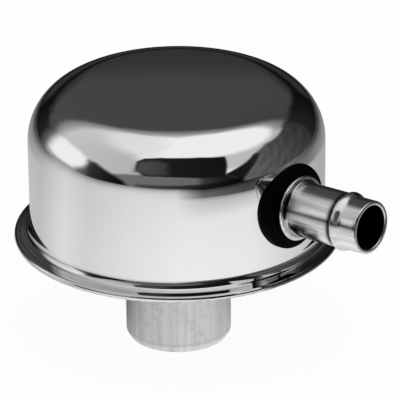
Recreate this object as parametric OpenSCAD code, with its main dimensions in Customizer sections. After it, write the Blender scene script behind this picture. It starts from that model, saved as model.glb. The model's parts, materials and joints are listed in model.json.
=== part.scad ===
// Push-in breather vent cap with a side hose nipple.
// Lengths in millimetres, +Z up. The origin is on the neck's axis, in the plane of the rim's underside.
// The hose nipple points along +X and leans up a little, so that caught oil drains back into the cap.

/* [Cap shell] */
// Outside diameter of the straight wall
shell_d = 70.7; // [66:0.1:74]
// Height of the crown above the rim's underside
shell_h = 38.8; // [38:0.1:44]
// Radius of the shoulder between wall and crown
shoulder_r = 13.9; // [10:0.1:15]
// Spherical radius of the shallow crown
crown_r = 600; // [300:10:1500]
// Thickness of the drawn sheet
shell_t = 0.5; // [0.4:0.05:0.7]

/* [Rim] */
// Outside diameter of the hemmed rim
rim_d = 78.4; // [78:0.1:84]
// Radius of the flare at the foot of the wall
foot_r = 3.2; // [2:0.1:3.6]
// Radius of the crease between the flare and the rim's ledge
crease_r = 0.8; // [0.5:0.1:1]
// Downward slope of the ledge in degrees
ledge_fall = 10; // [2:1:14]
// Width of the flat leg folded under the base plate
hem_leg = 1.4; // [0.8:0.1:2]

/* [Neck] */
// Outside diameter of the push-in neck
neck_d = 25.4; // [22:0.1:28]
// Wall thickness of the neck
neck_wall = 1.2; // [0.9:0.1:1.5]
// Length of the neck below the rim's underside
neck_len = 26.4; // [18:0.1:40]
// Height of the lead-in chamfer at the lower end
lead_h = 1.6; // [0.6:0.1:3]
// Depth of the lead-in chamfer
lead_w = 0.7; // [0.3:0.1:0.7]
// Step that the base plate sits on
neck_step = 0.5; // [0.3:0.1:0.6]
// Width of the lip flared out over the base plate
flare_w = 3.8; // [2.5:0.1:4.5]

/* [Base plate, cup and filter] */
// Thickness of the base plate
base_t = 0.55; // [0.45:0.05:0.8]
// Height of the ring of wire mesh
mesh_h = 25.3; // [18:0.1:26]
// Radial thickness of the ring of wire mesh
mesh_w = 7.7; // [5:0.1:8]
// Diameter of the holes in the baffle cup
cup_hole_d = 4; // [2:0.1:4.5]
// Holes round the baffle cup in each row
cup_holes = 14; // [8:1:16]
// Rows of holes in the baffle cup
cup_rows = 4; // [1:1:4]
// Diameter of the rivet's shank
rivet_d = 3.2; // [2.4:0.1:4]

/* [Side hole and grommet] */
// Height of the nipple's axis where it crosses the wall
nipple_z = 17.2; // [16:0.1:18.5]
// Upward lean of the nipple in degrees
nipple_tilt = 2.9; // [0:0.1:6]
// Diameter of the side hole
hole_d = 16.4; // [16:0.1:18]
// Diameter of the grommet's outer flange
grommet_d = 20.2; // [19.6:0.1:22]
// Distance the grommet stands out of the wall
grommet_out = 1.7; // [1.5:0.1:2.6]
// Thickness of the grommet's inner flange
grommet_in = 3.7; // [3.4:0.1:4]
// Rounding of the grommet's outer edge
grommet_edge = 1.3; // [0.8:0.1:1.5]

/* [Hose nipple] */
// Distance of the nipple's tip from the wall
nipple_reach = 23.2; // [20:0.1:34]
// Outside diameter of the plain tip
tip_d = 12.5; // [12:0.1:12.8]
// Outside diameter of the shank
shank_d = 12.9; // [12.4:0.1:13.2]
// Bore diameter of the nipple
bore_d = 10.4; // [8:0.1:10.8]
// Diameter of the hose bead
bead_d = 13.9; // [13.5:0.1:14.5]
// Distance of the hose bead's ridge from the tip
bead_back = 6.6; // [5.5:0.1:8]
// Diameter of the collar against the grommet
collar_d = 15.5; // [15:0.1:17]
// Thickness of the collar
collar_t = 1.3; // [1:0.1:2]

/* [Fits] */
// Radial clearance between the nipple and the grommet that it turns in
turn_clear = 0.05; // [0.02:0.01:0.1]
// Gap between turning faces
face_gap = 0.1; // [0.05:0.01:0.3]
// Clearance of pieces that are seated on or in each other
seat_clear = 0.05; // [0.02:0.01:0.1]

/* [Hidden] */
$fn = 96;
// Straight steps that stand for a quarter turn in a section
arc_n = 14;

// Shell: the wall, the crown sphere that touches the shoulder arc, and the hem round the base plate
shell_r = shell_d / 2;
crown_z = shell_h - crown_r;
shoulder_in = shell_r - shoulder_r;
shoulder_z = crown_z + sqrt(pow(crown_r - shoulder_r, 2) - pow(shoulder_in, 2));
crown_edge = 90 - asin(shoulder_in / (crown_r - shoulder_r));
hem_r = shell_t + base_t / 2;
hem_in = rim_d / 2 - hem_r;
// The flare and the crease meet at this turn, and the sloping ledge touches the crease and the hem
flare_turn = 35;
ledge_turn = 90 - ledge_fall;
crease_x = shell_r + foot_r - (foot_r - crease_r) * cos(flare_turn);
crease_z = ((hem_in - crease_x) * cos(ledge_turn) + hem_r * (1 + sin(ledge_turn)) + crease_r)
    / sin(ledge_turn);
foot_z = crease_z + (foot_r - crease_r) * sin(flare_turn);

// Base plate and neck
plate_z = shell_t;
plate_top = plate_z + base_t;
neck_r = neck_d / 2;
journal_r = neck_r - neck_step;
flare_r = journal_r + flare_w;
flare_bend = 2;

// Cup over the flared lip, ring of mesh on the cup's flange, end plate on top of both
cup_in = flare_r + 0.4;
cup_r = cup_in + shell_t;
cup_foot = 0.8;
cup_edge = 2.4;
mesh_in = cup_r + cup_foot;
mesh_r = mesh_in + mesh_w - cup_foot;
mesh_z = plate_top + shell_t;
cup_top = mesh_z + mesh_h;
plate_skirt = 2.5;
skirt_edge = 1.2;
rivet_r = rivet_d / 2;
rivet_head = 2 * rivet_r;
rivet_head_h = 0.75 * rivet_r;

// Nipple, measured along its own axis from the wall's outer face
shank_r = shank_d / 2;
tip_r = tip_d / 2;
bore_r = bore_d / 2;
bead_r = bead_d / 2;
collar_r = collar_d / 2;
hole_r = hole_d / 2;
inner_face = -shell_t - grommet_in;
barb_len = 2.4;
barb_r = bead_r;
nipple_in = inner_face - face_gap - barb_len;
collar_back = grommet_out + face_gap;
collar_edge = 0.45;
collar_foot = 0.8;
bead_at = nipple_reach - bead_back;
bead_rise = 0.9;
bead_fall = 2.2;
bead_steps = 8;
end_edge = 0.35;

// Points of an arc round centre c, from angle a to angle b; a skip of 1 leaves out the first point
function arc(c, r, a, b, n = arc_n, skip = 0) =
    [for (i = [skip:n]) c + r * [cos(a + (b - a) * i / n), sin(a + (b - a) * i / n)]];

function reversed(p) = [for (i = [len(p) - 1:-1:0]) p[i]];

// Shell surface set in by the depth o: crown, shoulder, wall, flare, crease, ledge, hem and folded leg
function shell_path(o) = concat(
    arc([0, crown_z], crown_r - o, 90, crown_edge, 4),
    arc([shoulder_in, shoulder_z], shoulder_r - o, crown_edge, 0, skip = 1),
    arc([shell_r + foot_r, foot_z], foot_r + o, 180, 180 + flare_turn, 6),
    arc([crease_x, crease_z], crease_r + o, 180 + flare_turn, 180 + ledge_turn, 6, 1),
    arc([hem_in, hem_r], hem_r - o, ledge_turn, -90),
    [[hem_in - hem_leg, o]]);

// Cup surface set in by the depth o: top, edge, wall, fillet and flange
function cup_path(o) = concat(
    [[rivet_r + seat_clear, cup_top - o]],
    arc([cup_r - cup_edge, cup_top - cup_edge], cup_edge - o, 90, 0),
    arc([cup_r + cup_foot, mesh_z + cup_foot], cup_foot + o, 180, 270),
    [[mesh_r, mesh_z - o]]);

// End plate surface set in by the depth o: disc, edge and skirt
function lid_path(o) = concat(
    [[rivet_r + seat_clear, cup_top + shell_t - o]],
    arc([mesh_r + seat_clear + shell_t - skirt_edge, cup_top + shell_t - skirt_edge],
        skirt_edge - o, 90, 0),
    [[mesh_r + seat_clear + shell_t - o, cup_top - plate_skirt]]);

// Share of a smooth rise from 0 to 1
function ease(x) = (1 - cos(180 * x)) / 2;

// Outer face of the hose bead: steep towards the collar, gentle towards the tip
function bead_path() = concat(
    [for (i = [0:bead_steps])
        [shank_r + (bead_r - shank_r) * ease(i / bead_steps), bead_at - bead_rise * (1 - i / bead_steps)]],
    [for (i = [1:bead_steps])
        [bead_r - (bead_r - tip_r) * ease(i / bead_steps), bead_at + bead_fall * i / bead_steps]]);

// Frame of the nipple: its Z runs outwards along the leaning axis, from the wall's outer face
module on_nipple_axis() {
    translate([shell_r, 0, nipple_z])
        rotate([0, 90 - nipple_tilt, 0])
            children();
}

// Body of revolution between a surface and the same surface set in by one sheet thickness
module spun_sheet(outer, inner) {
    rotate_extrude()
        polygon(concat(outer, reversed(inner)));
}

module cap_shell() {
    color([0.83, 0.84, 0.86])
    difference() {
        spun_sheet(shell_path(0), shell_path(shell_t));
        on_nipple_axis()
            translate([0, 0, -shell_r / 2])
                cylinder(r = hole_r, h = shell_r);
    }
}

module base_plate() {
    color([0.62, 0.63, 0.64])
    translate([0, 0, plate_z])
    difference() {
        cylinder(r = hem_in, h = base_t);
        translate([0, 0, -base_t])
            cylinder(r = journal_r + seat_clear, h = 3 * base_t);
    }
}

module neck_tube() {
    neck_bore = journal_r - neck_wall;
    color([0.74, 0.74, 0.73])
    rotate_extrude()
        polygon(concat(
            [[neck_r - lead_w, -neck_len], [neck_r, lead_h - neck_len], [neck_r, plate_z],
             [journal_r, plate_z], [journal_r, plate_top], [flare_r, plate_top],
             [flare_r, plate_top + neck_wall]],
            arc([neck_bore + flare_bend, plate_top + neck_wall - flare_bend], flare_bend, 90, 180),
            [[neck_bore, -neck_len]]));
}

module baffle_cup() {
    row_pitch = (mesh_h - cup_edge - cup_foot) / cup_rows;
    color([0.66, 0.67, 0.66])
    difference() {
        spun_sheet(cup_path(0), cup_path(shell_t));
        for (row = [0:cup_rows - 1], i = [0:cup_holes - 1])
            translate([0, 0, mesh_z + cup_foot + (row + 0.5) * row_pitch])
                rotate([0, 90, (i + 0.5 * (row % 2)) * 360 / cup_holes])
                    translate([0, 0, cup_r / 2])
                        cylinder(d = cup_hole_d, h = cup_r, $fn = 32);
    }
}

// Ring of wire mesh, rounded where it meets the end plate's edge
module filter_mesh() {
    color([0.5, 0.5, 0.48])
    rotate_extrude()
        polygon(concat(
            [[mesh_in, mesh_z], [mesh_r, mesh_z]],
            arc([mesh_r - skirt_edge, cup_top - skirt_edge], skirt_edge, 0, 90, 6),
            [[mesh_in, cup_top]]));
}

module end_plate() {
    color([0.66, 0.67, 0.66])
    spun_sheet(lid_path(0), lid_path(shell_t));
}

module plate_rivet() {
    top = cup_top + shell_t;
    under = cup_top - shell_t;
    color([0.7, 0.7, 0.68])
    rotate_extrude()
        polygon([[0, under - rivet_head_h], [rivet_r, under - rivet_head_h], [rivet_head, under],
                 [rivet_r, under], [rivet_r, top], [rivet_head, top],
                 [rivet_head, top + rivet_head_h / 2], [rivet_r, top + rivet_head_h],
                 [0, top + rivet_head_h]]);
}

// Rubber ring before the shell's edge is let into it, as a section along the nipple's axis
module grommet_blank() {
    grommet_r = grommet_d / 2;
    inner_r = grommet_r - 0.6;
    inner_edge = 0.8;
    rotate_extrude()
        polygon(concat(
            [[shank_r + turn_clear, inner_face]],
            arc([inner_r - inner_edge, inner_face + inner_edge], inner_edge, 270, 360, 6),
            [[inner_r, -shell_t - 1.6], [grommet_r, -shell_t - 1.2]],
            arc([grommet_r - grommet_edge, grommet_out - grommet_edge], grommet_edge, 0, 90),
            [[shank_r + turn_clear, grommet_out]]));
}

module side_grommet() {
    color([0.07, 0.07, 0.07])
    difference() {
        on_nipple_axis()
            grommet_blank();
        difference() {
            spun_sheet(shell_path(-seat_clear), shell_path(shell_t + seat_clear));
            on_nipple_axis()
                translate([0, 0, -shell_r / 2])
                    cylinder(r = hole_r - seat_clear, h = shell_r);
        }
    }
}

module hose_nipple() {
    color([0.8, 0.81, 0.82])
    on_nipple_axis()
    rotate_extrude()
        polygon(concat(
            [[bore_r, nipple_in], [shank_r - 0.5, nipple_in], [barb_r, inner_face - face_gap - 0.8],
             [barb_r, inner_face - face_gap], [shank_r, inner_face - face_gap], [shank_r, collar_back]],
            arc([collar_r - collar_edge, collar_back + collar_edge], collar_edge, -90, 0, 6),
            arc([collar_r - collar_edge, collar_back + collar_t - collar_edge], collar_edge, 0, 90, 6),
            arc([shank_r + collar_foot, collar_back + collar_t + collar_foot], collar_foot, 270, 180, 8),
            bead_path(),
            arc([tip_r - end_edge, nipple_reach - end_edge], end_edge, 0, 90, 6),
            arc([bore_r + end_edge, nipple_reach - end_edge], end_edge, 90, 180, 6)));
}

cap_shell();
base_plate();
neck_tube();
baffle_cup();
filter_mesh();
end_plate();
plate_rivet();
side_grommet();
hose_nipple();
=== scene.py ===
"""Finished surfaces, materials and studio for the breather vent cap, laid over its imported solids."""
import json
import math
from typing import NamedTuple

import bmesh
import bpy
import numpy as np
from mathutils import Matrix, Vector


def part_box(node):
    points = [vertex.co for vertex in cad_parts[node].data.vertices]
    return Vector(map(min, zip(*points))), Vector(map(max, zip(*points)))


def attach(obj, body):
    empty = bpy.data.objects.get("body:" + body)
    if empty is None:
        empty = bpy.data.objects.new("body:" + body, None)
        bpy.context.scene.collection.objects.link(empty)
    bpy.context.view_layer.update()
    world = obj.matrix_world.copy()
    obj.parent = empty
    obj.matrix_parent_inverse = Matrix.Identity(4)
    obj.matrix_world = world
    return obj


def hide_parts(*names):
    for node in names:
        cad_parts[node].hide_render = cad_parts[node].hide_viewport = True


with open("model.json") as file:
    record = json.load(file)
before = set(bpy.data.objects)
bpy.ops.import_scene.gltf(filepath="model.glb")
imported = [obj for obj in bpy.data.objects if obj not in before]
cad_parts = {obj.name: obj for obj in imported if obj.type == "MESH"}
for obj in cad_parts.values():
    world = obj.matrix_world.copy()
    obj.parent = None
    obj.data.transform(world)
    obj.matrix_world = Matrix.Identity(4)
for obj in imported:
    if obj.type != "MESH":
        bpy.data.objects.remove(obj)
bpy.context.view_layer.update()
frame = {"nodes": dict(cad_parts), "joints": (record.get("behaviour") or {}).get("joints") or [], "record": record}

bl_info = {
    "name": "Breather Vent Cap",
    "version": (1, 0, 0),
    "blender": (4, 5, 0),
    "location": "View3D > Sidebar > Vent Cap",
    "description": "Builds a chromed push-in breather cap with a side hose nipple, and a studio round it",
    "category": "Add Mesh",
}

MM = 0.001
WELD_COUNT = 8
WELD_RING = 14.7 * MM
WELD_SIZE = 1.3 * MM
WELD_DEPTH = 0.12 * MM
JOIN_DISTANCE = 1e-7
REPEAT_DISTANCE = 1e-8
# Range that most values of a noise lie in.
NOISE_MIDDLE = (0.3, 0.7)
# Painted shade on the rim below the nipple: its middle, and where its ends fade to each side, in radians.
NIPPLE_SHADE_MIDDLE = 0.26
NIPPLE_SHADE_ENDS = (0.52, 0.6)
PICTURE_PIXELS = 400
SWIVEL = next(joint for joint in frame["joints"] if joint["name"] == "nipple_swivel")
MOUNTS = {mount["name"]: mount for mount in frame["record"]["mounts"]}
SHELL_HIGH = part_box("cap_shell")[1]
PLATE_LOW, PLATE_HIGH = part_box("base_plate")
NECK_LOW, NECK_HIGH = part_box("neck_tube")
MESH_LOW, MESH_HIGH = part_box("filter_mesh")


def length(name, description, default, least=0.0):
    """A length property in metres."""
    return bpy.props.FloatProperty(name=name, description=description, default=default, min=least,
                                   precision=5, subtype="DISTANCE", unit="LENGTH")


def angle(name, description, degrees):
    """An angle property, given in degrees."""
    return bpy.props.FloatProperty(name=name, description=description, default=math.radians(degrees),
                                   subtype="ANGLE", unit="ROTATION")


def colour(name, description, default):
    """A linear colour property."""
    return bpy.props.FloatVectorProperty(name=name, description=description, default=default, size=3,
                                         min=0.0, max=1.0, subtype="COLOR")


class VentCapShell(bpy.types.PropertyGroup):
    """Sizes of the drawn shell and the base plate in its hem."""

    wall_radius: length("Wall radius", "Outer radius of the straight wall", SWIVEL["pos_m"][0])
    rim_radius: length("Rim radius", "Outer radius of the hemmed rim", SHELL_HIGH[0])
    crown_height: length("Crown height", "Top of the crown above the rim's underside", SHELL_HIGH[2])
    crown_radius: length("Crown radius", "Spherical radius of the shallow crown", 600 * MM)
    shoulder_radius: length("Shoulder", "Radius between wall and crown", 13.9 * MM)
    foot_radius: length("Foot", "Radius of the flare at the foot of the wall", 3.2 * MM)
    crease_radius: length("Crease", "Radius of the crease between the flare and the ledge", 0.8 * MM)
    flare_turn: angle("Flare turn", "Turn at which the flare meets the crease", 35)
    ledge_fall: angle("Ledge fall", "Downward slope of the ledge", 10)
    sheet: length("Sheet", "Thickness of the drawn sheet", PLATE_LOW[2])
    plate: length("Plate", "Thickness of the base plate", PLATE_HIGH[2] - PLATE_LOW[2])
    leg: length("Hem leg", "Width of the leg folded under the base plate", 1.4 * MM)
    hole_radius: length("Side hole", "Radius of the side hole", 8.2 * MM)
    hem_ripple: length("Hem ripple", "Height of the ripple that folding leaves in the hem", 0.05 * MM)


class VentCapNeck(bpy.types.PropertyGroup):
    """Sizes of the push-in neck."""

    radius: length("Radius", "Outer radius", MOUNTS["neck"]["dims"]["r_mm"] * MM)
    wall: length("Wall", "Wall thickness behind the step", 1.2 * MM)
    step: length("Step", "Step that the base plate sits on", 0.5 * MM)
    lead_height: length("Lead-in height", "Height of the chamfer at the lower end", 1.6 * MM)
    lead_depth: length("Lead-in depth", "Depth of the chamfer at the lower end", 0.7 * MM)
    bend: length("Flare bend", "Radius of the bend into the flared lip", 2.0 * MM)


class VentCapNipple(bpy.types.PropertyGroup):
    """Sizes of the hose nipple, along its own axis from the wall, and of the grommet that holds it."""

    tip_radius: length("Tip radius", "Outer radius of the tip", MOUNTS["hose_tip"]["dims"]["r_mm"] * MM)
    shank_radius: length("Shank radius", "Outer radius of the shank", 6.45 * MM)
    bore_radius: length("Bore radius", "Radius of the bore", 5.2 * MM)
    bead_radius: length("Bead radius", "Outer radius of the hose bead and of the inner barb", 6.95 * MM)
    collar_radius: length("Collar radius", "Outer radius of the collar", 7.75 * MM)
    collar_thickness: length("Collar thickness", "Thickness of the collar", 1.3 * MM)
    reach: length("Reach", "Distance of the tip from the wall", 23.2 * MM)
    bead_back: length("Bead back", "Distance of the bead's ridge from the tip", 6.6 * MM)
    barb: length("Barb", "Length of the barb inside the cap", 2.4 * MM)
    gap: length("Gap", "Gap between turning faces", 0.1 * MM)
    grommet_radius: length("Grommet radius", "Radius of the grommet's outer flange", 10.1 * MM)
    grommet_out: length("Grommet out", "Distance the grommet stands out of the wall", 1.7 * MM)
    grommet_in: length("Grommet in", "Thickness of the grommet's inner flange", 3.7 * MM)
    grommet_edge: length("Grommet edge", "Rounding of the grommet's outer edge", 1.3 * MM)
    clearance: length("Clearance", "Clearance round the grommet", 0.05 * MM)


class VentCapFinish(bpy.types.PropertyGroup):
    """Colours of the finishes."""

    chrome: colour("Chrome", "Chrome plating of the shell", (0.86, 0.865, 0.87))
    bright: colour("Bright metal", "Turned metal of the nipple", (0.80, 0.80, 0.80))
    drawn: colour("Drawn steel", "Bare steel of the neck", (0.70, 0.70, 0.69))
    zinc: colour("Zinc", "Dull plating of the plate, cup and lid", (0.46, 0.47, 0.47))
    wire: colour("Wire", "Knitted wire of the filter", (0.42, 0.42, 0.40))
    rubber: colour("Rubber", "Black rubber of the grommet", (0.0015, 0.0015, 0.0015))


class VentCapStudio(bpy.types.PropertyGroup):
    """Camera and light tent."""

    azimuth: angle("Azimuth", "Camera's turn from the front towards the nipple", 40.7)
    elevation: angle("Elevation", "Camera's height above the horizon", 24.47)
    roll: angle("Roll", "Camera's turn about its own axis", 0.52)
    distance: length("Distance", "Camera's distance from the cap", 800 * MM)
    pixels_per_metre: bpy.props.FloatProperty(
        name="Scale", description="Pixels for each metre at the cap, in a picture 400 pixels wide",
        default=4212.0)
    aim_height: length("Aim height", "Height of the point that the view is measured from", 23.6 * MM)
    aim_right: length("Aim right", "How far right of the middle that point lies", -5.565 * MM, -1.0)
    aim_up: length("Aim up", "How far above the middle that point lies", 13.835 * MM, -1.0)
    tent_radius: length("Tent radius", "Radius of the light tent", 1.1)


# Curves and grids

def arc(centre, radius, start, stop, steps):
    """Points at centre + radius (cos t, sin t), for t in even steps from start to stop degrees."""
    turn = np.radians(np.linspace(start, stop, steps + 1))
    return np.column_stack((centre[0] + radius * np.cos(turn), centre[1] + radius * np.sin(turn)))


def line(start, stop, steps):
    """Points in even steps on the straight line from start to stop."""
    return np.linspace(start, stop, steps + 1)


def chain(*stretches):
    """The stretches end to end, without the points that repeat the one before.

    A stretch is an array of points, or a line on from the last point, as (steps, radius, height).
    """
    points = stretches[0]
    for stretch in stretches[1:]:
        if isinstance(stretch, tuple):
            stretch = line(points[-1], stretch[1:], stretch[0])
        points = np.vstack((points, stretch))
    moves = np.linalg.norm(np.diff(points, axis=0), axis=1) > REPEAT_DISTANCE
    return points[np.concatenate(([True], moves))]


def ease(share):
    """A smooth rise from 0 to 1: (1 - cos(pi share)) / 2."""
    return (1 - np.cos(np.pi * share)) / 2


def smooth_step(low, high, value):
    """0 below low, 1 above high, and 3 t^2 - 2 t^3 between, with t the share of the way."""
    share = np.clip((value - low) / (high - low), 0, 1)
    return share * share * (3 - 2 * share)


def bell(value, middle, width):
    """A bell-shaped rise to 1: exp(-((value - middle) / width)^2)."""
    return np.exp(-((value - middle) / width) ** 2)


class Axis(NamedTuple):
    """An axis to turn a section about: its origin, its direction, and two directions across it."""

    origin: np.ndarray
    along: np.ndarray
    across: np.ndarray
    up: np.ndarray


CAP_AXIS = Axis(np.zeros(3), np.array([0.0, 0, 1]), np.array([1.0, 0, 0]), np.array([0, 1.0, 0]))


def nipple_axis():
    """The leaning axis of the nipple, from the wall's outer face outwards."""
    along = np.array(SWIVEL["axis"], float)
    along /= np.linalg.norm(along)
    across = np.array([0, 1.0, 0])
    return Axis(np.array(SWIVEL["pos_m"], float), along, across, np.cross(along, across))


def turned(axis, radius, height, turn):
    """Points at origin + height along + radius (cos turn across + sin turn up), as an array of points."""
    out = np.cos(turn)[..., None] * axis.across + np.sin(turn)[..., None] * axis.up
    return axis.origin + height[..., None] * axis.along + radius[..., None] * out


def turns(segments):
    """Angles of the segments of one full turn."""
    return np.linspace(0, 2 * np.pi, segments, endpoint=False)


def grid_quads(rows, columns, closed_rows=False):
    """Vertex numbers of each cell's corners, in a grid whose columns close on themselves."""
    row = np.arange(rows if closed_rows else rows - 1)[:, None]
    column = np.arange(columns)[None, :]
    below, beside = (row + 1) % rows, (column + 1) % columns
    corners = (row * columns + column, below * columns + column,
               below * columns + beside, row * columns + beside)
    return np.stack(np.broadcast_arrays(*corners), axis=-1).reshape(-1, 4)


def grid_uv(section, columns):
    """Share of the turn, and metres along a closed section, at each cell's corners."""
    steps = np.linalg.norm(np.diff(section, axis=0, append=section[:1]), axis=1)
    ends = np.concatenate(([0], np.cumsum(steps)))
    row, column = np.arange(len(section))[:, None], np.arange(columns)[None, :]
    u = np.stack((column, column, column + 1, column + 1), axis=-1) / columns
    v = np.stack((ends[row], ends[row + 1], ends[row + 1], ends[row]), axis=-1)
    return np.stack(np.broadcast_arrays(u, v), axis=-1).reshape(-1, 2)


# Pieces

def finish_mesh(mesh, crease):
    """Joins the points that meet, turns the faces outwards and shades them, sharp above a crease angle."""
    work = bmesh.new()
    work.from_mesh(mesh)
    bmesh.ops.remove_doubles(work, verts=work.verts, dist=JOIN_DISTANCE)
    bmesh.ops.recalc_face_normals(work, faces=work.faces)
    work.to_mesh(mesh)
    work.free()
    mesh.polygons.foreach_set("use_smooth", np.ones(len(mesh.polygons), bool))
    mesh.set_sharp_from_angle(angle=math.radians(crease))
    mesh.update()


def hold(mesh, name, values):
    """Gives each point of a mesh a value, in a named attribute."""
    held = mesh.attributes.new(name, "FLOAT", "POINT")
    held.data.foreach_set("value", np.ascontiguousarray(values.ravel(), np.float32))


def add_object(name, data):
    """An object in the scene."""
    made = bpy.data.objects.new(name, data)
    bpy.context.scene.collection.objects.link(made)
    return made


def add_piece(name, points, quads, corner_uv, node, material, crease=35, grime=None):
    """Makes a piece that stands for a CAD node and rides on that node's body.

    The darkening value holds how dark each point is made, from 0 to 1: painted shade and a dark line on the neck,
    painted shade and a painted reflection on the nipple, and weld burns on the base plate.
    """
    mesh = bpy.data.meshes.new(name)
    mesh.from_pydata(points.reshape(-1, 3), [], quads)
    if grime is not None:
        hold(mesh, "grime", grime)
    if corner_uv is not None:
        mesh.uv_layers.new(name="UVMap").uv.foreach_set("vector", corner_uv.ravel())
    finish_mesh(mesh, crease)
    mesh.materials.append(material)
    piece = add_object(name, mesh)
    bodies = frame["record"]["behaviour"]["bodies"]
    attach(piece, next(body for body, nodes in bodies.items() if node in nodes))
    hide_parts(node)


def add_turned_piece(name, section, axis, segments, node, material, grime, lift=0.0):
    """Makes a piece by turning a closed section of (radius, height) points about an axis.

    Lift is added to the heights of the points, and the darkening value, of dirt and painted shade, is given for
    each row or for each point.
    """
    shape = (len(section), segments)
    radius, height = (np.broadcast_to(section[:, [column]], shape) for column in (0, 1))
    points = turned(axis, radius, height + lift, np.broadcast_to(turns(segments), shape))
    spread = np.broadcast_to(grime.reshape(len(section), -1), shape)
    add_piece(name, points, grid_quads(*shape, closed_rows=True), grid_uv(section, segments), node,
              material, grime=spread)


def shell_heights(shell):
    """Height of the shoulder's centre, its distance from the axis, and the crown's edge angle in degrees.

    The crown's sphere holds the shoulder's circle and touches it from inside, so their centres are the
    difference of their radii apart.
    """
    inset = shell.wall_radius - shell.shoulder_radius
    apart = shell.crown_radius - shell.shoulder_radius
    height = shell.crown_height - shell.crown_radius + math.sqrt(apart ** 2 - inset ** 2)
    return height, inset, 90 - math.degrees(math.asin(inset / apart))


def foot_centres(shell):
    """Centres of the hem, the crease and the flare, as (radius, height), and the ledge's turn in degrees.

    The ledge touches the crease and the hem, so both lie at their own radius from its straight line, and
    the flare touches the crease from inside at the turn where they meet.
    """
    hem = shell.sheet + shell.plate / 2
    hem_in = shell.rim_radius - hem
    ledge = math.pi / 2 - shell.ledge_fall
    apart = shell.foot_radius - shell.crease_radius
    crease_in = shell.wall_radius + shell.foot_radius - apart * math.cos(shell.flare_turn)
    crease_up = (hem_in - crease_in) * math.cos(ledge) + hem * (1 + math.sin(ledge)) + shell.crease_radius
    crease = (crease_in, crease_up / math.sin(ledge))
    foot = (shell.wall_radius + shell.foot_radius, crease[1] + apart * math.sin(shell.flare_turn))
    return (hem_in, hem), crease, foot, math.degrees(ledge)


def shell_section(shell, depth):
    """Shell surface set in by a depth, from the crown's middle to the end of the folded leg.

    Every stretch is an arc or a line. An inner surface has the same centres, with the depth taken off
    the outward arcs and added to the inward ones, so both surfaces have the same number of points.
    """
    height, inset, edge = shell_heights(shell)
    hem, crease, foot, ledge = foot_centres(shell)
    flare = math.degrees(shell.flare_turn)
    wall = shell.wall_radius - depth
    crease_arc = arc(crease, shell.crease_radius + depth, 180 + flare, 180 + ledge, 12)
    hem_arc = arc(hem, hem[1] - depth, ledge, -90, 26)
    return np.vstack((
        arc((0, shell.crown_height - shell.crown_radius), shell.crown_radius - depth, 90, edge, 12),
        arc((inset, height), shell.shoulder_radius - depth, edge, 0, 40)[1:],
        line((wall, height), (wall, foot[1]), 28)[1:],
        arc(foot, shell.foot_radius + depth, 180, 180 + flare, 12)[1:],
        crease_arc[1:],
        line(crease_arc[-1], hem_arc[0], 4)[1:],
        hem_arc[1:],
        line((hem[0], depth), (hem[0] - shell.leg, depth), 3)[1:]))


def shell_radius_at(shell, height, depth):
    """Radius of the shell's wall or shoulder, set in by a depth, at some heights."""
    centre, inset, _ = shell_heights(shell)
    rise = np.clip(height - centre, 0, shell.shoulder_radius - depth)
    return inset + np.sqrt((shell.shoulder_radius - depth) ** 2 - rise ** 2)


def shell_reach(shell, across, above, depth):
    """Distance along the nipple's axis to the shell, set in by a depth, at an offset from that axis.

    The distance is solved by going to and fro between the height it gives and the shell's radius there.
    """
    axis = nipple_axis()
    cosine, sine = axis.along[0], axis.along[2]
    reach = np.zeros(np.broadcast(across, above).shape)
    for _ in range(12):
        height = axis.origin[2] + reach * sine + above * cosine
        out = np.sqrt(shell_radius_at(shell, height, depth) ** 2 - across ** 2)
        reach = (out - axis.origin[0] + above * sine) / cosine
    return reach


def shell_points(shell, section, segments):
    """Turned shell surface, with a slight ripple in the hem's lower half as folding leaves it."""
    turn = np.broadcast_to(turns(segments)[None, :], (len(section), segments))
    hem = shell.sheet + shell.plate / 2
    low = smooth_step(hem, 0, section[:, 1:])
    low = low * smooth_step(shell.wall_radius, shell.rim_radius - hem, section[:, :1])
    wave = np.sin(47 * turn + 1.3 * np.sin(5 * turn)) + np.sin(83 * turn + 2 * np.sin(3 * turn))
    height = section[:, 1:] + shell.hem_ripple * low * (0.5 + 0.25 * wave)
    return turned(CAP_AXIS, np.broadcast_to(section[:, :1], turn.shape), height, turn)


def open_side_hole(shell, outer, inner):
    """Cells to keep round the side hole, with the points on its edge moved onto the hole's cylinder.

    A cell goes where its middle lies inside the hole. A point between kept and removed cells is scaled
    in the plane across the nipple's axis to the hole's radius, then put back on its surface.
    """
    axis = nipple_axis()
    middles = (outer[:-1] + np.roll(outer, -1, 1)[:-1] + outer[1:] + np.roll(outer, -1, 1)[1:]) / 4
    offset = middles - axis.origin
    away = np.hypot(offset @ axis.across, offset @ axis.up)
    keep = ~((away < shell.hole_radius) & (offset @ axis.along > -shell.hole_radius))
    gone = np.zeros(outer.shape[:2], int)
    for rows in (slice(0, -1), slice(1, None)):
        gone[rows] += ~keep
        gone[rows] += np.roll(~keep, 1, 1)
    edge = (gone > 0) & (gone < 4)
    for surface, depth in ((outer, 0.0), (inner, shell.sheet)):
        offset = surface[edge] - axis.origin
        across, up = offset @ axis.across, offset @ axis.up
        scale = shell.hole_radius / np.hypot(across, up)
        across, up = across * scale, up * scale
        reach = shell_reach(shell, across, up, depth)
        surface[edge] = (axis.origin + reach[:, None] * axis.along + across[:, None] * axis.across
                         + up[:, None] * axis.up)
    return keep


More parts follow.
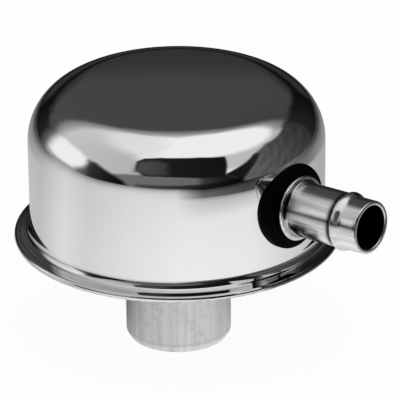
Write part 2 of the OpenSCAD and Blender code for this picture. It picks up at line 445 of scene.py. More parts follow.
def sheet_quads(keep):
    """Faces of two like grids of points, joined along every edge where a kept cell ends.

    Cell (row, column) of the first grid faces out and that of the second faces in. An edge between a
    kept cell and none gets a face across the sheet. The first row of points is one point, so it has none.
    """
    rows, columns = keep.shape
    count = (rows + 1) * columns
    cells = grid_quads(rows + 1, columns)[keep.ravel()]
    number = np.arange(count).reshape(rows + 1, columns)
    beside = np.roll(number, -1, 1)
    padded = np.vstack((np.ones((1, columns), bool), keep, np.zeros((1, columns), bool)))
    level = padded[:-1] != padded[1:]
    upright = keep != np.roll(keep, 1, 1)
    starts = np.concatenate((number[level], number[:-1][upright]))
    stops = np.concatenate((beside[level], number[1:][upright]))
    walls = np.column_stack((starts, stops, stops + count, starts + count))
    return np.vstack((cells, cells[:, ::-1] + count, walls))


def make_shell(shell, material):
    """The drawn shell: outer and inner surfaces of one sheet, with the side hole and the folded leg."""
    segments = 256
    sections = (shell_section(shell, depth) for depth in (0.0, shell.sheet))
    outer, inner = (shell_points(shell, section, segments) for section in sections)
    keep = open_side_hole(shell, outer, inner)
    points = np.vstack((outer.reshape(-1, 3), inner.reshape(-1, 3)))
    add_piece("cap_shell_chromed", points, sheet_quads(keep), None, "cap_shell", material,
              crease=50)


def make_base_plate(shell, neck, material):
    """The disc in the hem, with its edges broken, round the neck's step.

    Spot welds in a ring dent its lower face. The distance from the nearest weld has two parts: along the
    radius, and along the arc, which is the radius times the turn from the nearest of equal turns. The
    dent's depth falls smoothly with that distance.
    """
    hole = neck.radius - neck.step + 0.05 * MM
    rim = shell.rim_radius - shell.sheet - shell.plate / 2
    low, high, edge = shell.sheet, shell.sheet + shell.plate, 0.15 * MM
    section = chain(
        arc((hole + edge, low + edge), edge, 180, 270, 4),
        (20, WELD_RING + 2 * WELD_SIZE, low),
        (10, rim - edge, low),
        arc((rim - edge, low + edge), edge, 270, 360, 4),
        arc((rim - edge, high - edge), edge, 0, 90, 4),
        (12, hole + edge, high),
        arc((hole + edge, high - edge), edge, 90, 180, 4))
    segments = 384
    step = turns(segments)[None, :] * WELD_COUNT / math.tau
    aside = (step - np.round(step)) * math.tau * WELD_RING / WELD_COUNT
    apart = np.hypot(section[:, [0]] - WELD_RING, aside)
    weld = (1 - smooth_step(0.5 * WELD_SIZE, WELD_SIZE, apart)) * np.isclose(section[:, [1]], low)
    add_turned_piece("base_plate_zinc", section, CAP_AXIS, segments, "base_plate", material,
                     weld, WELD_DEPTH * weld)


def make_neck(shell, neck, material):
    """The drawn tube: chamfered lower end, straight wall, step under the plate and flared lip above it.

    Painted shade darkens the tube: it rises smoothly along the last few millimetres below the rim, as the
    rim's shadow, and is slight on the straight wall, which is darker than the chamfer. A bell-shaped dark line
    lies just above the chamfer.
    """
    low, edge = NECK_LOW[2], 0.2 * MM
    journal = neck.radius - neck.step
    bore = journal - neck.wall
    seat, top = shell.sheet, shell.sheet + shell.plate
    lip = NECK_HIGH[0]
    slope = math.degrees(math.atan2(neck.lead_depth, neck.lead_height))
    blend = 1.2 * MM
    section = chain(
        arc((bore + edge, low + edge), edge, 180, 270, 5),
        arc((neck.radius - neck.lead_depth - edge, low + edge), edge, 270, 360 - slope, 5),
        arc((neck.radius - blend, low + neck.lead_height), blend, -slope, 0, 6),
        (80, neck.radius, seat),
        (1, journal, seat),
        (1, journal, top),
        (3, lip, top),
        (2, lip, top + neck.wall),
        (3, bore + neck.bend, top + neck.wall),
        arc((bore + neck.bend, top + neck.wall - neck.bend), neck.bend, 90, 180, 10),
        (24, bore, low + edge))
    height = section[:, 1]
    wall_foot = low + neck.lead_height
    # Painted shade: the rim's shadow below it and a straight wall darker than the chamfer; also a dark line above
    # the chamfer.
    on_wall, on_line, below_rim = 0.25, 0.3, 0.6
    shade = on_wall * smooth_step(wall_foot, wall_foot + edge, height)
    shade = shade + on_line * bell(height, wall_foot + 0.5 * MM, 0.4 * MM)
    shade = shade + below_rim * smooth_step(-8 * MM, 1 * MM, height)
    shade = shade * (section[:, 0] > bore + edge)
    segments = 192
    add_turned_piece("neck_tube_drawn", section, CAP_AXIS, segments, "neck_tube", material,
                     shade)


def make_grommet(shell, nipple, material):
    """The rubber ring, whose groove follows both faces of the shell's curved wall round the side hole.

    The section is a loop of radii. Each point has a fixed height on the nipple's axis, or takes the
    height where its ray along that axis meets the shell's outer or inner face.
    """
    bore = nipple.shank_radius + nipple.clearance
    rim, edge = nipple.grommet_radius, nipple.grommet_edge
    inner_rim, inner_edge = rim - 0.6 * MM, 0.8 * MM
    throat = shell.hole_radius - nipple.clearance
    back = -shell.sheet - nipple.grommet_in
    face = nipple.grommet_out
    lip = 0.35 * MM
    front = chain(
        arc((rim - edge, face - edge), edge, 0, 90, 16),
        (5, bore + lip, face),
        arc((bore + lip, face - lip), lip, 90, 180, 5))
    rear = chain(
        line((bore, face - lip), (bore, back), 8),
        (4, inner_rim - inner_edge, back),
        arc((inner_rim - inner_edge, back + inner_edge), inner_edge, 270, 360, 6))
    segments = 192
    turn = turns(segments)[None, :]

    def on_shell(radii, depth, clear):
        """Radii and heights of points that lie on the shell, a little clear of it."""
        radii = radii[:, None] * np.ones_like(turn)
        return radii, shell_reach(shell, radii * np.cos(turn), radii * np.sin(turn), depth) + clear

    def fixed(part):
        """Radii and heights of points that are the same all round."""
        return part[:, :1] * np.ones_like(turn), part[:, 1:] * np.ones_like(turn)

    under = on_shell(np.linspace(inner_rim, throat, 5), shell.sheet, -nipple.clearance)
    over = on_shell(np.linspace(throat, rim, 6), 0.0, nipple.clearance)
    radius, height = map(np.vstack, zip(fixed(front), fixed(rear), under, over))
    points = turned(nipple_axis(), radius, height, np.broadcast_to(turn, radius.shape))
    middle = np.column_stack((radius.mean(1), height.mean(1)))
    add_piece("side_grommet_rubber", points, grid_quads(*radius.shape, closed_rows=True),
              grid_uv(middle, segments), "side_grommet", material, crease=50)


def make_nipple(shell, nipple, material):
    """The turned nipple: barb, shank, collar with a fillet, hose bead that rises steeply, and tip.

    Painted shade lies in a bell-shaped band in the corner of the bead and of the collar, and in the bore. More
    painted shade on the lower left side fades with distance from the collar, and a painted reflection of the black
    grommet lies in a spot below.
    """
    shank, bore, tip = nipple.shank_radius, nipple.bore_radius, nipple.tip_radius
    seat = -shell.sheet - nipple.grommet_in - nipple.gap
    back = nipple.grommet_out + nipple.gap
    front = back + nipple.collar_thickness
    ridge = nipple.reach - nipple.bead_back
    rise, fall, foot, edge, end = 0.9 * MM, 2.2 * MM, 0.8 * MM, 0.45 * MM, 0.35 * MM
    share = np.linspace(0, 1, 13)
    bead_up = np.column_stack((shank + (nipple.bead_radius - shank) * ease(share),
                               ridge - rise * (1 - share)))
    bead_down = np.column_stack((nipple.bead_radius - (nipple.bead_radius - tip) * ease(share),
                                 ridge + fall * share))
    inner_end = seat - nipple.barb
    section = chain(
        line((bore, inner_end), (shank - 0.5 * MM, inner_end), 2),
        (4, nipple.bead_radius, seat - 0.8 * MM),
        (2, nipple.bead_radius, seat),
        (1, shank, seat),
        (8, shank, back),
        arc((nipple.collar_radius - edge, back + edge), edge, 270, 360, 7),
        arc((nipple.collar_radius - edge, front - edge), edge, 0, 90, 7),
        arc((shank + foot, front + foot), foot, 270, 180, 9),
        (12, shank, ridge - rise - 2 * MM),
        (10, shank, ridge - rise),
        bead_up, bead_down,
        (5, tip, nipple.reach - end),
        arc((tip - end, nipple.reach - end), end, 0, 90, 7),
        arc((bore + end, nipple.reach - end), end, 90, 180, 7),
        (30, bore, inner_end))
    radius, height = section[:, :1], section[:, 1:]
    outside = radius > bore + end
    # Painted shade in the corner of the bead, in the collar's fillet and in the bore.
    corner = bell(height, ridge - rise - 0.1 * MM, 0.7 * MM) * outside
    fillet = 0.5 * bell(height, front + 0.25 * foot, 0.3 * MM) * (outside & (radius < shank + 0.7 * foot))
    inside = smooth_step(nipple.reach - end, nipple.reach - 2 * MM, height) * ~outside
    segments = 160
    turn = np.degrees(turns(segments))[None, :]
    ahead = height - front
    # Painted shade beside the collar on the lower left side, and a painted reflection of the black grommet below
    # it.
    collar_shade_share, collar_shade_length = 0.85, 2.5 * MM
    collar_shade = collar_shade_share * np.exp(-ahead / collar_shade_length)
    collar_shade = collar_shade * smooth_step(118, 138, turn) * smooth_step(190, 175, turn)
    grommet_reflection_share, grommet_reflection_turn, grommet_reflection_width = 0.95, 200, 11
    grommet_reflection = grommet_reflection_share * bell(turn, grommet_reflection_turn, grommet_reflection_width)
    grommet_reflection = grommet_reflection * smooth_step(7 * MM, 5 * MM, ahead) * smooth_step(0.3 * MM, 1.2 * MM, ahead)
    stain_and_shade = np.where((ahead > 0) & (height < ridge) & outside, np.maximum(collar_shade, grommet_reflection), 0)
    add_turned_piece("hose_nipple_bright", section, nipple_axis(), segments, "hose_nipple",
                     material, np.clip(corner + fillet + inside + stain_and_shade, 0, 1))


def make_filter(material):
    """The knitted wire ring: courses of looped wire on an outer and an inner sleeve.

    Round a course, the wire runs at turn t + k sin(2 n t), height z + h cos(n t) and radius
    r + d cos(2 n t), so that it bends back in loops which hook through the next course.
    """
    loops, courses, steps, sides, wire = 72, 15, 792, 4, 0.14 * MM
    sway, swing, hook = 0.55, 0.72, 0.18 * MM
    low, high = MESH_LOW[2] + 0.9 * MM, MESH_HIGH[2] - 1.6 * MM
    t = turns(steps)
    quads, points = [], []
    for sleeve in (MESH_HIGH[0] - 0.5 * MM, MESH_HIGH[0] - 6.3 * MM):
        for course, middle in enumerate(np.linspace(low, high, courses)):
            phase = loops * t + np.pi * (course % 2)
            turn = t + sway / loops * np.sin(2 * phase)
            height = middle + (high - low) / courses * swing * np.cos(phase)
            radius = sleeve + hook * np.cos(2 * phase)
            path = turned(CAP_AXIS, radius, height, turn)
            ahead = np.roll(path, -1, 0) - np.roll(path, 1, 0)
            ahead /= np.linalg.norm(ahead, axis=1, keepdims=True)
            out = np.column_stack((np.cos(turn), np.sin(turn), np.zeros(steps)))
            side = np.cross(ahead, out)
            side /= np.linalg.norm(side, axis=1, keepdims=True)
            out = np.cross(side, ahead)
            round_wire = turns(sides)[:, None, None]
            tube = path + wire * (np.cos(round_wire) * out + np.sin(round_wire) * side)
            quads.append(grid_quads(sides, steps, closed_rows=True) + sides * steps * len(points))
            points.append(tube.reshape(-1, 3))
    add_piece("filter_mesh_knit", np.vstack(points), np.vstack(quads), None, "filter_mesh",
              material, crease=180)


# Finishes

class Nodes:
    """A new material and its shader nodes."""

    def __init__(self, name):
        self.material = bpy.data.materials.new(name)
        self.material.use_nodes = True
        self.tree = self.material.node_tree

    def add(self, kind, output=None, inputs=None, **settings):
        """A node's named output, or all of them. Each input gets a link from a socket, or else a value."""
        made = self.tree.nodes.new("ShaderNode" + kind)
        for key, value in settings.items():
            setattr(made, key, value)
        for key, value in (inputs or {}).items():
            if isinstance(value, bpy.types.NodeSocket):
                self.tree.links.new(value, made.inputs[key])
            else:
                made.inputs[key].default_value = value
        return made.outputs[output] if output else made.outputs

    def math(self, operation, *values):
        """The result of an operation on sockets or numbers."""
        return self.add("Math", "Value", dict(enumerate(values)), operation=operation)

    def attribute(self, name):
        """The values that a mesh's points hold under a name."""
        return self.add("Attribute", "Fac", attribute_name=name)


class Finish(Nodes):
    """A finish: a main shader, and what leads to it."""

    def __init__(self, name, metallic):
        super().__init__(name)
        self.inputs = self.tree.nodes["Principled BSDF"].inputs
        self.inputs["Metallic"].default_value = metallic

    def feed(self, key, socket):
        """Links a socket to an input of the main shader."""
        self.tree.links.new(socket, self.inputs[key])

    def place(self):
        """Object coordinates."""
        return self.add("TexCoord", "Object")

    def round_place(self, place):
        """Distance from the cap's axis, turn about it and height along it."""
        across, deep, height = self.add("SeparateXYZ", inputs={"Vector": place})
        squares = self.math("ADD", self.math("POWER", across, 2), self.math("POWER", deep, 2))
        return self.math("POWER", squares, 0.5), self.math("ARCTAN2", deep, across), height

    def stretched(self, round_scale, along_scale):
        """The piece's own coordinates, stretched round and along it."""
        scale = (round_scale, along_scale, 1)
        return self.add("Mapping", "Vector", {"Vector": self.add("TexCoord", "UV"), "Scale": scale})

    def noise(self, vector, scale, detail=2.0, rough=0.5):
        """The value of a noise texture on some coordinates."""
        inputs = {"Vector": vector, "Scale": scale, "Detail": detail, "Roughness": rough}
        return self.add("TexNoise", "Fac", inputs)

    def ranged(self, value, low, high, to_low=0, to_high=1):
        """A value mapped from one range to another."""
        inputs = {"Value": value, "From Min": low, "From Max": high, "To Min": to_low, "To Max": to_high}
        return self.add("MapRange", "Result", inputs)

    def specks(self, place, scale, size):
        """1 on sparse round specks of uneven size, 0 elsewhere."""
        inputs = {"Vector": place, "Scale": scale, "Randomness": 1.0}
        spread = self.ranged(self.noise(place, scale * 0.7, 0), 0.45, 0.75, 0, size)
        return self.math("LESS_THAN", self.add("TexVoronoi", "Distance", inputs), spread)

    def shade(self, base, value, darkest, lightest):
        """The base colour between a darkest and a lightest share of a colour, by a value from 0 to 1."""
        shares = (darkest, lightest)
        dark, light = ((*[min(channel * share, 1) for channel in base], 1) for share in shares)
        inputs = {"A": dark, "B": light, "Factor": value}
        self.feed("Base Color", self.add("Mix", "Result", inputs, data_type="RGBA"))

    def darken(self, mask, share):
        """Darkens the base colour to a share of itself where a mask is 1."""
        base = self.inputs["Base Color"].links[0].from_socket
        inputs = {"A": base, "B": (share, share, share, 1), "Factor": mask}
        self.feed("Base Color", self.add("Mix", "Result", inputs, data_type="RGBA", blend_type="MULTIPLY"))

    def roughen(self, noise, low, high):
        """Roughness from low to high, as a noise goes over the middle of its range."""
        self.feed("Roughness", self.ranged(noise, *NOISE_MIDDLE, low, high))

    def bump(self, height, strength, depth):
        """A bump on the normal, with its depth in metres."""
        inputs = {"Height": height, "Strength": strength, "Distance": depth}
        self.feed("Normal", self.add("Bump", "Normal", inputs))


def chrome_finish(base):
    """Mirror plating with a faint haze, the slight waviness of polished sheet and streaks along the rim.

    The streaks are noise by distance from the axis and height, with little change round the cap, and they
    fade out above the rim. Painted shade darkens the rim's ledge below the nipple. Painted shade of the
    fold's wrinkles, noise by turn alone, lies along its lower outer edge.
    """
    made = Finish("chrome_plating", 1.0)
    place = made.place()
    made.shade(base, made.noise(place, 60, 3), 0.98, 1.01)
    made.darken(made.specks(place, 90, 0.045), 0.35)
    radius, turn, height = made.round_place(place)
    edge = SHELL_HIGH[1]
    slow_turn = made.math("MULTIPLY", turn, 0.4 * MM)
    rings = made.add("CombineXYZ", "Vector", {"X": radius, "Y": slow_turn, "Z": height})
    streaks = made.ranged(made.noise(rings, 1900, 3, 0.6), 0.4, 0.62)
    rim = made.ranged(height, 2.5 * MM, 4 * MM, 1, 0)
    made.darken(made.math("MULTIPLY", rim, streaks), 0.6)
    # Painted shade on the rim's ledge below the nipple.
    aside = made.math("ABSOLUTE", made.math("SUBTRACT", turn, NIPPLE_SHADE_MIDDLE))
    below_nipple = made.ranged(aside, *NIPPLE_SHADE_ENDS, 1, 0)
    ledge = made.ranged(radius, edge - 2.7 * MM, edge - 2 * MM)
    made.darken(made.math("MULTIPLY", ledge, below_nipple), 0.22)
    # Painted shade in the wrinkles of the fold, along the hem's lower outer edge.
    by_turn = made.add("CombineXYZ", "Vector", {"X": turn})
    folds = made.ranged(made.noise(by_turn, 24, 2, 0.6), 0.46, 0.56)
    below = made.ranged(height, 0.25 * MM, 0.5 * MM, 1, 0)
    outer = made.ranged(radius, edge - 1 * MM, edge - 0.5 * MM, 0.2, 1)
    made.darken(made.math("MULTIPLY", folds, made.math("MULTIPLY", below, outer)), 0.15)
    made.roughen(made.noise(place, 900, 4), 0.015, 0.04)
    made.bump(made.noise(place, 110, 1), 0.05, 0.02 * MM)
    return made.material


def bright_finish(base):
    """Bright turned metal with fine lines round it, softer streaks along it, painted shade and a painted
    reflection.
    """
    made = Finish("bright_turned_metal", 1.0)
    streak = made.noise(made.stretched(34, 60), 1.0, 4, 0.6)
    made.shade(base, made.ranged(streak, *NOISE_MIDDLE), 0.66, 1.10)
    # Painted shade and a painted reflection from the points' darkening value.
    made.darken(made.attribute("grime"), 0.03)
    made.roughen(streak, 0.12, 0.21)
    made.bump(made.noise(made.stretched(3, 9000), 1.0, 2), 0.15, 0.01 * MM)
    return made.material


def drawn_finish(base):
    """Bare drawn steel: satin, with long lines left by the die, specks, stains and painted shade."""
    made = Finish("drawn_bare_steel", 1.0)
    lines = made.noise(made.stretched(40, 9), 1.0, 5, 0.65)
    made.shade(base, made.ranged(lines, *NOISE_MIDDLE), 0.76, 1.1)
    made.darken(made.specks(made.place(), 160, 0.1), 0.45)
    stain_and_shade = made.noise(made.stretched(22, 190), 1.0, 5, 0.7)
    made.darken(made.ranged(stain_and_shade, 0.5, 0.68), 0.78)
    # Painted shade from the points' darkening value.
    made.darken(made.attribute("grime"), 0.66)
    made.roughen(lines, 0.28, 0.4)
    made.bump(made.noise(made.stretched(420, 25), 1.0, 3), 0.12, 0.02 * MM)
    return made.material


def zinc_finish(base):
    """Dull zinc plating with blotches, darker where the spot welds burnt it."""
    made = Finish("dull_zinc", 0.9)
    place = made.place()
    blotch = made.noise(place, 160, 5, 0.6)
    made.shade(base, made.ranged(blotch, 0.35, 0.65), 0.8, 1.1)
    made.roughen(blotch, 0.36, 0.5)
    made.darken(made.attribute("grime"), 0.68)
    made.bump(made.noise(place, 1500, 3), 0.15, 0.02 * MM)
    return made.material


def wire_finish(base):
    """Oil-darkened wire."""
    made = Finish("knitted_wire", 1.0)
    made.inputs["Roughness"].default_value = 0.35
    made.shade(base, made.noise(made.place(), 220, 3), 0.55, 1.1)
    return made.material


def rubber_finish(base):
    """Moulded black rubber with a fine matt grain."""
    made = Finish("black_rubber", 0.0)
    made.inputs["Specular IOR Level"].default_value = 0.03
    place = made.place()
    grain = made.noise(place, 1800, 4, 0.6)
    made.shade(base, grain, 0.6, 1.3)
    made.roughen(made.noise(place, 240, 3), 0.5, 0.7)
    made.bump(grain, 0.2, 0.03 * MM)
    return made.material


# Studio

class TentPanel(NamedTuple):
    """A piece of the tent's cloth: its corners, as turn right of the camera and height in degrees.

    Its lightness, as it shows in chrome, runs from its left end to its right end. Soft is the width in
    degrees over which its edge fades into what is behind it, and folds how much it waves.
    """

    name: str
    corners: tuple
    light_left: float
    light_right: float
    soft: float
    folds: float = 0.0


# Share of the light that the chrome gives back, and the lightness of the tent's bare cloth.
MIRROR = 0.87
TENT_CLOTH = 0.93
TENT_PANELS = tuple(TentPanel(*row) for row in (
    ("left top", ((-150, 50), (-150, 84), (-18, 84), (-24, 50)), 0.85, 0.88, 20),
    ("left wall", ((-150, 22), (-150, 74), (-118, 60), (-46, 54), (-26, 42), (-28, 8), (-70, 8),
     (-76, 22)), 0.80, 0.69, 16),
    ("right wall", ((38, 24), (40, 50), (84, 43), (100, 42), (116, 44), (132, 50), (132, 24)),
     0.74, 0.70, 8),
    ("left low", ((-122, -12), (-120, 4), (-76, 2), (-70, -12)), 0.60, 0.62, 6),
    ("left lamp", ((-112, 7), (-113, 24), (-106, 27), (-86, 28), (-76, 23), (-73.5, 13), (-77, 8),
     (-84, 6.5), (-92, 4.5), (-102, 4.5)), 0.93, 0.93, 7),
    ("back fade", ((116, -12), (116, 40), (128, 52), (140, 70), (160, 77), (172, 79), (188, 79),
     (200, 77.5), (216, 73), (231, 54), (241, 38), (246, 26), (246, -12)), 0.50, 0.55, 15),
    ("back wall", ((118, -12), (118, 30), (128, 37), (138, 51), (148, 61), (164, 66), (180, 67),
     (196, 66), (212, 60), (224, 44), (233, 29), (241, 21), (242, -12)), 0.24, 0.28, 12),
    ("back arc", ((140, 29), (144, 44), (180, 50), (216, 44), (220, 29)), 0.25, 0.27, 5),
    ("back low", ((138, 8), (140, 22), (180, 22.5), (220, 21), (222, 8)), 0.19, 0.20, 4),
    ("back foot", ((145, -12), (148, 14), (180, 12), (214, 13), (216, -12)), 0.18, 0.19, 6),
    ("back line", ((146, 9), (148, 18), (180, 17), (212, 17), (214, 8), (180, 12)), 0.06, 0.08, 5),
    ("right corner", ((118, -12), (119, 36), (144, 29), (157, 19), (154, -12)), 0.16, 0.04, 7),
    ("left corner", ((207, -12), (206, 13), (222, 17), (233, 16), (234, -12)), 0.04, 0.14, 8),
    ("right side", ((46, -12), (45, 8), (56, 25), (70, 35), (88, 39), (96, 37), (104, 36), (126, 35),
     (126, -12)), 0.40, 0.19, 4, 0.09),
    ("right side trim", ((38, -6), (37, 17), (46, 22), (58, 28), (70, 35), (74, 32), (61, 19), (51, 5),
     (50, -6)), 0.06, 0.14, 4),
    ("front foot", ((-51, -12), (-49, 14), (-40, 18), (-26, 22), (36, 17), (45, 9), (46, -12)),
     0.43, 0.38, 4),
    ("front right foot", ((18, -12), (17, 19), (36, 17), (45, 9), (46, -12)), 0.24, 0.04, 7),
    ("left front fade", ((-80, -12), (-80, 4), (-74, 9), (-71, 17), (-73, 23), (-66, 22), (-64, -12)),
     0.46, 0.22, 8),
    ("left front gap", ((-68, -12), (-70, 20), (-66, 22.5), (-62, 21), (-58, 18.5), (-52, 15), (-46, 11),
     (-40, 5.5), (-36, -3), (-36, -12)), 0.20, 0.01, 6),
    ("floor edge", ((-30, -12), (-30, 4.5), (47, 5.5), (47, -12)), 0.30, 0.02, 4),
    ("front gap", ((-33, 29), (-36, 44), (-32, 51), (-17, 55.5), (4, 56), (25, 54), (47, 47), (40, 26),
     (36.5, 13), (18, 17), (3, 19.5), (-12, 20.5), (-25, 20)), 0.13, 0.07, 2.5),
    ("front gap left", ((-33, 25), (-34, 44), (-20, 50), (-8, 46), (-6, 24), (-20, 22)), 0.30, 0.22, 8),
))
# Floor by turn right of the camera: lightness far out, and near with the cap's painted shadow, the depth of a dark
# band, and two falls.
FLOOR_TURNS = (-180, -150, -115, -100, -85, -62, -30, 0, 18, 50, 90, 126, 150, 180)
FLOOR_FAR = (0.73, 0.73, 0.74, 0.80, 0.86, 0.82, 0.88, 0.92, 0.92, 0.91, 0.80, 0.68, 0.65, 0.73)
FLOOR_NEAR_SHADOWED = (0.42, 0.42, 0.50, 0.62, 0.71, 0.83, 0.89, 0.93, 0.94, 0.93, 0.84, 0.68, 0.58, 0.42)
FLOOR_DARK = (0.50, 0.12, 0.02, 0, 0, 0, 0, 0.05, 0.48, 0.60, 0.40, 0.10, 0.06, 0.50)
FLOOR_FALL = (0.18, 0.36, 0.20, 0.10, 0.12, 0.18, 0.14, 0.14, 0.18, 0.08, -0.04, 0.25, 0.33, 0.18)
FLOOR_LOSS = (0.33, 0.08, 0.14, 0.05, 0.07, 0.20, 0.20, 0.30, 0.33, 0.14, -0.04, 0.08, 0.06, 0.33)
FLOOR_LEAST = 0.02
# Share of plain white in the floor to the camera, which is free of shadow, and its brightness.
FLOOR_PLAIN = 0.86
FLOOR_WHITE = 1.095


def linear(light):
    """Linear brightness that shows in chrome as a lightness of a picture."""
    light = np.asarray(light, float)
    return np.where(light < 0.04, light / 12.92, ((light + 0.055) / 1.055) ** 2.4) / MIRROR


def inside_share(corners, soft, across, above):
    """1 inside an outline, 0 outside, and smooth over the soft width, by the distance to its nearest side.

    A point is inside where a line from it to the right crosses an odd number of sides.
    """
    starts = np.array(corners, float)
    stops = np.roll(starts, -1, 0)
    sides = stops - starts
    points = np.stack((across, above), -1)[..., None, :]
    along = np.clip(((points - starts) * sides).sum(-1) / (sides ** 2).sum(-1), 0, 1)
    away = np.linalg.norm(points - starts - along[..., None] * sides, axis=-1).min(-1)
    spans = (starts[:, 1] > points[..., 1]) != (stops[:, 1] > points[..., 1])
    rise = np.where(sides[:, 1] == 0, 1, sides[:, 1])
    crossing = starts[:, 0] + (points[..., 1] - starts[:, 1]) * sides[:, 0] / rise
    inside = (spans & (points[..., 0] < crossing)).sum(-1) % 2 == 1
    return smooth_step(-soft / 2, soft / 2, np.where(inside, away, -away))


def tent_light(turn, height):
    """Lightness of the tent's cloth by turn right of the camera and height, both in degrees.

    A panel can hang in slanting folds, along which its lightness waves by a share of itself.
    """
    light = np.full(np.broadcast(turn, height).shape, TENT_CLOTH)
    for panel in TENT_PANELS:
        ends = [corner[0] for corner in panel.corners]
        left, right = min(ends), max(ends)
        middle = (left + right) / 2
        beside = (turn - middle + 180) % 360 - 180 + middle
        level = np.interp(beside, (left, right), (panel.light_left, panel.light_right))
        waves = np.sin((height - 0.8 * beside) / 2.3 + 2 * np.sin(beside / 9)) * np.sin(beside / 5)
        level = level * (1 + panel.folds * waves)
        light = light + (level - light) * inside_share(panel.corners, panel.soft, beside, height)
    return light


def floor_light(turn, distance):
    """Lightness of the floor, by turn right of the camera in degrees and distance in metres.

    It goes from that near the neck, which holds a painted shadow of the cap, to that farther out, and then
    falls off in ranges of distance. A dark band lies on it at the right and at the back.
    """
    near, far, dark, fall, loss = (np.interp(turn, FLOOR_TURNS, values) for values in (
        FLOOR_NEAR_SHADOWED, FLOOR_FAR, FLOOR_DARK, FLOOR_FALL, FLOOR_LOSS))
    # Near the neck the lightness holds a painted shadow of the cap.
    light = near + (far - near) * smooth_step(0.035, 0.09, distance)
    slight = 0.03
    drops = ((dark, 0.135, 0.165), (slight, 0.10, 0.15), (fall, 0.13, 0.5), (loss, 0.35, 1.0))
    for drop, start, stop in drops:
        light = light - drop * smooth_step(start, stop, distance)
    return np.maximum(light, FLOOR_LEAST)


def camera_axis(studio):
    """The cap's axis, with its across direction towards the camera and its up direction to the right."""
    toward = np.array([math.sin(studio.azimuth), -math.cos(studio.azimuth), 0])
    right = np.array([math.cos(studio.azimuth), math.sin(studio.azimuth), 0])
    return Axis(np.zeros(3), np.array([0, 0, 1.0]), toward, right)


def add_stage_mesh(name, studio, radius, level, turn, light, material):
    """A stage mesh turned about the cap's axis, from the camera on, whose points hold a brightness."""
    points = turned(camera_axis(studio), radius, level, np.radians(turn))
    mesh = bpy.data.meshes.new(name)
    mesh.from_pydata(points.reshape(-1, 3), [], grid_quads(*turn.shape))
    hold(mesh, "glow", linear(light))
    mesh.polygons.foreach_set("use_smooth", np.ones(len(mesh.polygons), bool))
    mesh.materials.append(material)
    made = add_object(name, mesh)
    return made


class StageNodes(Nodes):
    """A stage material, which gives light."""

    def __init__(self, name):
        super().__init__(name)
        self.tree.nodes.clear()

    def light(self, colour, strength=1.0):
        """Light of a colour or socket."""
        return self.add("Emission", "Emission", {"Color": colour, "Strength": strength})

    def glow(self):
        """Light by the attribute glow."""
        return self.light(self.attribute("glow"))

    def mix(self, share, first, second):
        """The first shader, or the second where a share is 1."""
        return self.add("MixShader", "Shader", {0: share, 1: first, 2: second})

    def shown(self, surface):
        """The material, showing a shader."""
        self.add("OutputMaterial", inputs={"Surface": surface})
        return self.material


def tent_material():
    """Cloth that glows by its attribute."""
    made = StageNodes("tent_cloth")
    return made.shown(made.glow())


def floor_material():
    """White floor: plain to the camera, with a soft shadow, and fading with distance in the metal."""
    made = StageNodes("pale_floor")
    path = made.add("LightPath")
    paint = made.add("BsdfDiffuse", "BSDF", {"Color": (0.85, 0.85, 0.85, 1)})
    seen = made.math("MULTIPLY", path["Is Camera Ray"], FLOOR_PLAIN)
    to_camera = made.mix(seen, paint, made.light((1, 1, 1, 1), FLOOR_WHITE))
    bounced = made.math("MAXIMUM", path["Is Glossy Ray"], path["Is Transmission Ray"])
    return made.shown(made.mix(bounced, to_camera, made.glow()))


def make_tent(studio):
    """A light tent: a dome of glowing cloth that metal and matt surfaces see and the camera doesn't."""
    columns, rows, lowest = 360, 95, -4
    turn, height = np.meshgrid(np.degrees(turns(columns)), np.linspace(lowest, 90, rows))
    radius = studio.tent_radius * np.cos(np.radians(height))
    level = studio.tent_radius * np.sin(np.radians(height))
    light = tent_light((turn + 180) % 360 - 180, height)
    tent = add_stage_mesh("light_tent", studio, radius, level, turn, light, tent_material())
    tent.visible_camera = False


def make_floor(studio):
    """A round floor under the neck, in rings that widen outwards."""
    columns, rows, past_tent = 120, 60, 1.3
    rings = past_tent * studio.tent_radius * np.linspace(0, 1, rows) ** 2
    turn, distance = np.meshgrid(np.degrees(turns(columns)), rings)
    level = np.full_like(distance, NECK_LOW[2])
    light = floor_light((turn + 180) % 360 - 180, distance)
    add_stage_mesh("floor", studio, distance, level, turn, light, floor_material())


def make_camera(studio):
    """The camera, from its angles, distance, scale and the place of the measured point in the picture."""
    axis = camera_axis(studio)
    back = math.cos(studio.elevation) * axis.across + math.sin(studio.elevation) * axis.along
    level_up = math.cos(studio.elevation) * axis.along - math.sin(studio.elevation) * axis.across
    right = math.cos(studio.roll) * axis.up - math.sin(studio.roll) * level_up
    up = math.sin(studio.roll) * axis.up + math.cos(studio.roll) * level_up
    place = (studio.aim_height * axis.along + studio.distance * back - studio.aim_right * right
             - studio.aim_up * up)
    lens = bpy.data.cameras.new("camera")
    picture_width = PICTURE_PIXELS / studio.pixels_per_metre
    lens.sensor_width = 36.0
    lens.lens = lens.sensor_width * studio.distance / picture_width
    lens.clip_start = 0.01
    camera = add_object("camera", lens)
    turn = Matrix((right, up, back)).transposed().to_4x4()
    camera.matrix_world = Matrix.Translation(Vector(place)) @ turn
    bpy.context.scene.camera = camera


def make_world():
    """A plain white world, which shows only behind the floor."""
    world = bpy.data.worlds.new("white_world")
    world.use_nodes = True
    background = world.node_tree.nodes["Background"].inputs
    background["Color"].default_value = (1, 1, 1, 1)
    background["Strength"].default_value = 1.0
    bpy.context.scene.world = world
    bpy.context.scene.view_settings.view_transform = "Standard"


# Operators

class VENTCAP_OT_shell(bpy.types.Operator):
    """Build the chromed shell and the plate in its hem"""

    bl_idname = "ventcap.shell"
    bl_label = "Shell and Base Plate"

    def execute(self, context):
        scene = context.scene
        make_shell(scene.vent_cap_shell, chrome_finish(scene.vent_cap_finish.chrome))
        make_base_plate(scene.vent_cap_shell, scene.vent_cap_neck, zinc_finish(scene.vent_cap_finish.zinc))
        return {"FINISHED"}


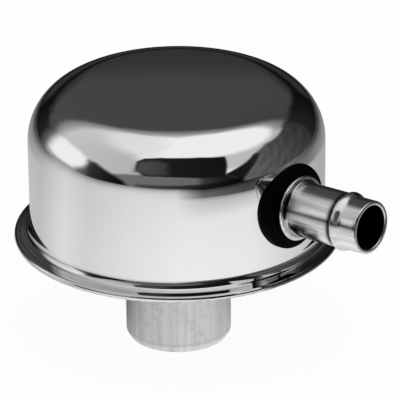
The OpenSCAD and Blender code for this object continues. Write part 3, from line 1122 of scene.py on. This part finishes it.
class VENTCAP_OT_neck(bpy.types.Operator):
    """Build the drawn neck"""

    bl_idname = "ventcap.neck"
    bl_label = "Neck"

    def execute(self, context):
        scene = context.scene
        make_neck(scene.vent_cap_shell, scene.vent_cap_neck, drawn_finish(scene.vent_cap_finish.drawn))
        return {"FINISHED"}


class VENTCAP_OT_nipple(bpy.types.Operator):
    """Build the rubber grommet and the hose nipple in it"""

    bl_idname = "ventcap.nipple"
    bl_label = "Grommet and Nipple"

    def execute(self, context):
        shell, nipple = context.scene.vent_cap_shell, context.scene.vent_cap_nipple
        finish = context.scene.vent_cap_finish
        make_grommet(shell, nipple, rubber_finish(finish.rubber))
        make_nipple(shell, nipple, bright_finish(finish.bright))
        return {"FINISHED"}


class VENTCAP_OT_filter(bpy.types.Operator):
    """Build the knitted wire filter and plate the cup, lid and rivet round it"""

    bl_idname = "ventcap.filter"
    bl_label = "Filter"

    def execute(self, context):
        finish = context.scene.vent_cap_finish
        make_filter(wire_finish(finish.wire))
        zinc = zinc_finish(finish.zinc)
        for name in ("baffle_cup", "end_plate", "plate_rivet"):
            materials = frame["nodes"][name].data.materials
            materials.clear()
            materials.append(zinc)
        return {"FINISHED"}


class VENTCAP_OT_studio(bpy.types.Operator):
    """Set up the floor, light tent, white world and camera"""

    bl_idname = "ventcap.studio"
    bl_label = "Studio"

    def execute(self, context):
        studio = context.scene.vent_cap_studio
        make_floor(studio)
        make_tent(studio)
        make_world()
        make_camera(studio)
        return {"FINISHED"}


class VENTCAP_PT_build(bpy.types.Panel):
    """Lists the steps that build the cap"""

    bl_idname = "VENTCAP_PT_build"
    bl_label = "Vent Cap"
    bl_space_type = "VIEW_3D"
    bl_region_type = "UI"
    bl_category = "Vent Cap"

    def draw(self, context):
        for operator in OPERATORS:
            self.layout.operator(operator.bl_idname)


GROUPS = {
    "vent_cap_shell": VentCapShell,
    "vent_cap_neck": VentCapNeck,
    "vent_cap_nipple": VentCapNipple,
    "vent_cap_finish": VentCapFinish,
    "vent_cap_studio": VentCapStudio,
}
OPERATORS = (VENTCAP_OT_shell, VENTCAP_OT_neck, VENTCAP_OT_nipple, VENTCAP_OT_filter, VENTCAP_OT_studio)
CLASSES = (*GROUPS.values(), *OPERATORS, VENTCAP_PT_build)


def register():
    """Registers the classes and hangs the settings on the scene."""
    for item in CLASSES:
        bpy.utils.register_class(item)
    for name, group in GROUPS.items():
        setattr(bpy.types.Scene, name, bpy.props.PointerProperty(type=group))


def unregister():
    """Takes the settings and the classes away again."""
    for name in GROUPS:
        delattr(bpy.types.Scene, name)
    for item in reversed(CLASSES):
        bpy.utils.unregister_class(item)


def main():
    """Builds the cap and its studio."""
    register()
    bpy.ops.ventcap.shell()
    bpy.ops.ventcap.neck()
    bpy.ops.ventcap.nipple()
    bpy.ops.ventcap.filter()
    bpy.ops.ventcap.studio()


if __name__ == "__main__":
    main()
